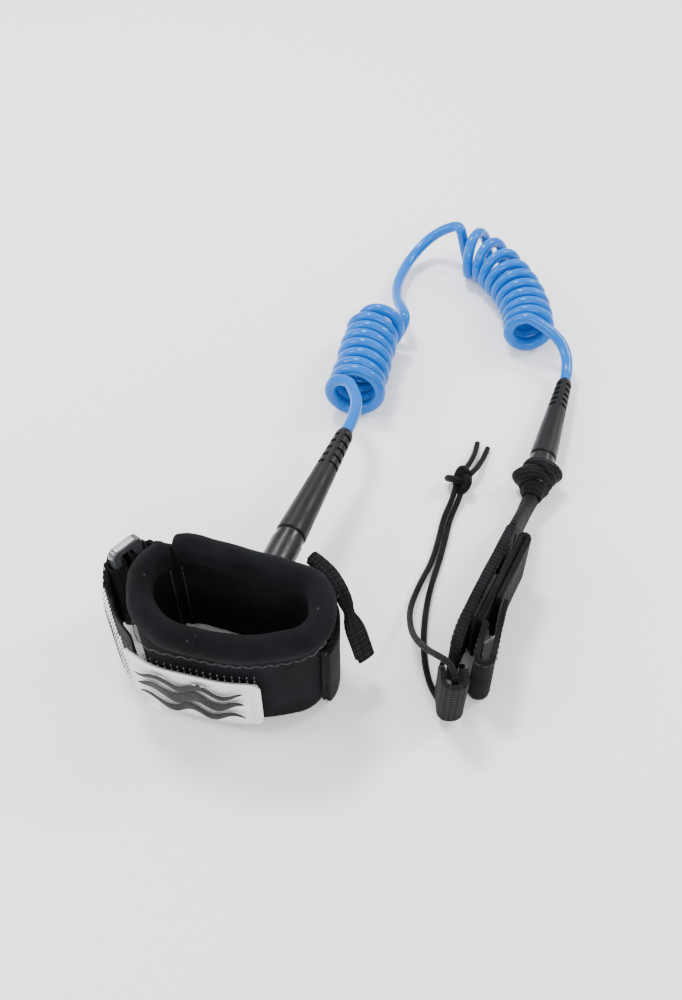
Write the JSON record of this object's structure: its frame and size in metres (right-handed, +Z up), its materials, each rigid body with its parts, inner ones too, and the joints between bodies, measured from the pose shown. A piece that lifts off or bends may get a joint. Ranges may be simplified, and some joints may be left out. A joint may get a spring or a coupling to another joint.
{
  "type": "coiled wrist leash",
  "caption": "Coiled urethane wrist leash with a padded closing cuff, two swivel boots, a webbing rail saver and a knotted tie string.",
  "frame": {"origin": "on the surface it lies on, under the middle of the cuff, boots and rail saver, the free cord and string left out", "axes": "+Z up from the surface, +Y from the cuff's badge towards the far end of the coils, +X from the cuff towards the rail saver"},
  "size_m": [0.2198, 0.3178, 0.058],
  "materials": {
    "neoprene": "matte knitted face",
    "webbing": "coarse woven nylon",
    "elastic": "ribbed elastic",
    "loop_tape": "brushed loop pile",
    "hook_tape": "moulded hooks",
    "badge_rubber": "soft moulded, satin",
    "ring_plastic": "smooth moulded, gloss",
    "boot_rubber": "satin moulded",
    "collar_plastic": "satin moulded",
    "steel": "brushed",
    "brass": "turned",
    "cord_urethane": "clear gloss urethane",
    "braid": "round braid"
  },
  "bodies": {
    "root": {"backing_webbing": "webbing", "badge": "badge_rubber", "board_coil": "cord_urethane", "board_collar": "collar_plastic", "board_cross_pin": "steel", "board_swivel_pin": "steel", "board_washer": "collar_plastic", "closing_strap": "elastic", "closure_tape": "loop_tape", "cord_bridge": "cord_urethane", "cord_lead": "cord_urethane", "cord_tail": "cord_urethane", "cuff_coil": "cord_urethane", "cuff_collar": "collar_plastic", "cuff_cross_pin": "steel", "cuff_pad": "neoprene", "cuff_swivel_pin": "steel", "cuff_washer": "collar_plastic", "hook_panel": "hook_tape", "loop_panel": "loop_tape", "pull_tab": "webbing", "ring_tab": "webbing", "saver_cover": "loop_tape", "saver_end_loop": "webbing", "saver_flap": "loop_tape", "saver_hitch": "webbing", "saver_hook_strip": "hook_tape", "saver_stem": "webbing", "saver_strap": "webbing", "slot_ring": "ring_plastic", "strap_anchor": "elastic", "string_knot": "braid", "string_over": "braid", "string_tail_a": "braid", "string_tail_b": "braid", "string_under": "braid", "swivel_tab": "webbing"},
    "cuff_boot_body": {"cuff_boot": "boot_rubber", "cuff_bushing": "brass", "cuff_ferrule": "brass", "cuff_cord_end": "cord_urethane"},
    "board_boot_body": {"board_boot": "boot_rubber", "board_bushing": "brass", "board_ferrule": "brass", "board_cord_end": "cord_urethane"}
  },
  "joints": [
    {"name": "cuff_swivel", "type": "hinge", "parent": "root", "child": "cuff_boot_body", "pos_m": [-0.034, -0.02073, 0.03], "axis": [0.3665, 0.9304, 0], "continuous": true},
    {"name": "board_swivel", "type": "hinge", "parent": "root", "child": "board_boot_body", "pos_m": [0.087, 0.04328, 0.009], "axis": [0.3256, 0.9455, 0], "continuous": true}
  ]
}
